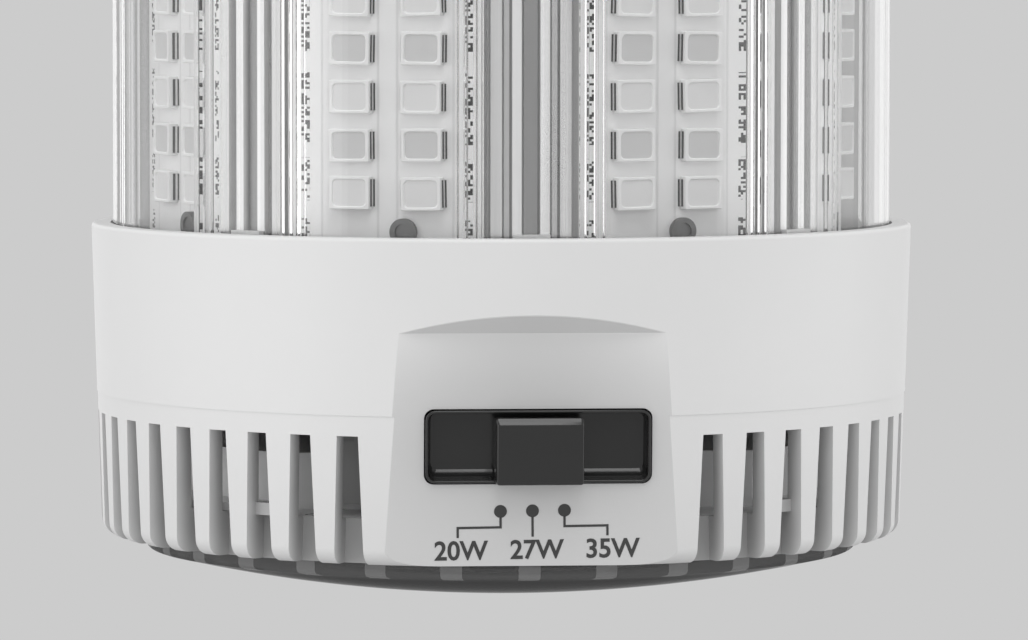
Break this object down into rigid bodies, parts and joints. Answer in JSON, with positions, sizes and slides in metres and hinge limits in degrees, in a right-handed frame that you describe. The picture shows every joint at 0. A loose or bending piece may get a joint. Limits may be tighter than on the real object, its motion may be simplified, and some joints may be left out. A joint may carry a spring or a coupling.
{
  "type": "led hid replacement bulb",
  "caption": "LED retrofit lamp with a medium screw base, clear tube over LED boards, slotted white end collar, slide power selector and smoked domed lens.",
  "frame": {"origin": "tip of the centre contact, on the lamp's axis", "axes": "+Z out of the screw base along the axis, selector switch facing -Y, +X to the right of the switch"},
  "size_m": [0.07, 0.07, 0.206],
  "materials": {
    "white_plastic": "moulded satin white",
    "carrier_plastic": "moulded satin white",
    "smoked_lens": "polished smoked clear",
    "clear_tube": "polished clear",
    "dark_plastic": "fine texture",
    "switch_metal": "plated sheet",
    "extruded_aluminium": "as extruded",
    "spreader_aluminium": "bare",
    "white_board": "white solder mask",
    "led_package": "white body with phosphor window",
    "rivet_metal": "dull",
    "screw_steel": "zinc plated",
    "circuit_board": "solder mask",
    "connector_plastic": "moulded",
    "capacitor_sleeve": "shrink sleeve",
    "ferrite": "ferrite and tape",
    "component_epoxy": "moulded epoxy",
    "film_case": "moulded case",
    "varistor_coat": "dipped coat",
    "fuse_body": "ceramic tube",
    "plated_shell": "nickel plated",
    "base_glass": "black insulator",
    "contact_metal": "tinned",
    "live_insulation": "flexible sleeve",
    "neutral_insulation": "flexible sleeve",
    "lead_insulation": "flexible sleeve"
  },
  "bodies": {
    "lamp": {"end_collar": "white_plastic", "base_housing": "white_plastic", "driver_plate": "carrier_plastic", "end_lens": "smoked_lens", "cover_tube": "clear_tube", "selector_bezel": "dark_plastic", "switch_case": "switch_metal", "heatsink_core": "extruded_aluminium", "end_heat_spreader": "spreader_aluminium", "transistor_heatsink": "spreader_aluminium", "led_board_1": "white_board", "led_board_2": "white_board", "led_board_3": "white_board", "led_board_4": "white_board", "led_board_5": "white_board", "led_board_6": "white_board", "led_board_7": "white_board", "led_board_8": "white_board", "end_board": "white_board", "leds_1": "led_package", "leds_2": "led_package", "leds_3": "led_package", "leds_4": "led_package", "leds_5": "led_package", "leds_6": "led_package", "leds_7": "led_package", "leds_8": "led_package", "end_leds": "led_package", "board_rivets": "rivet_metal", "end_board_screws": "screw_steel", "collar_screws": "screw_steel", "switch_board_screws": "screw_steel", "housing_screws": "screw_steel", "plate_screws": "screw_steel", "driver_screws": "screw_steel", "switch_board": "circuit_board", "driver_board": "circuit_board", "switch_connector": "connector_plastic", "output_connector": "connector_plastic", "bulk_capacitor": "capacitor_sleeve", "output_capacitor": "capacitor_sleeve", "transformer": "ferrite", "emi_choke": "ferrite", "bridge_rectifier": "component_epoxy", "power_transistor": "component_epoxy", "film_capacitor": "film_case", "surge_varistor": "varistor_coat", "fuse": "fuse_body", "screw_shell": "plated_shell", "base_insulator": "base_glass", "centre_contact": "contact_metal", "live_lead": "live_insulation", "neutral_lead": "neutral_insulation", "led_leads": "lead_insulation", "switch_lead": "lead_insulation", "end_lead": "lead_insulation"},
    "selector": {"selector_knob": "dark_plastic", "switch_lever": "dark_plastic"}
  },
  "joints": [
    {"name": "selector_slide", "type": "slide", "parent": "lamp", "child": "selector", "axis": [1, 0, 0], "range_m": [-0.00258, 0.00258]}
  ]
}
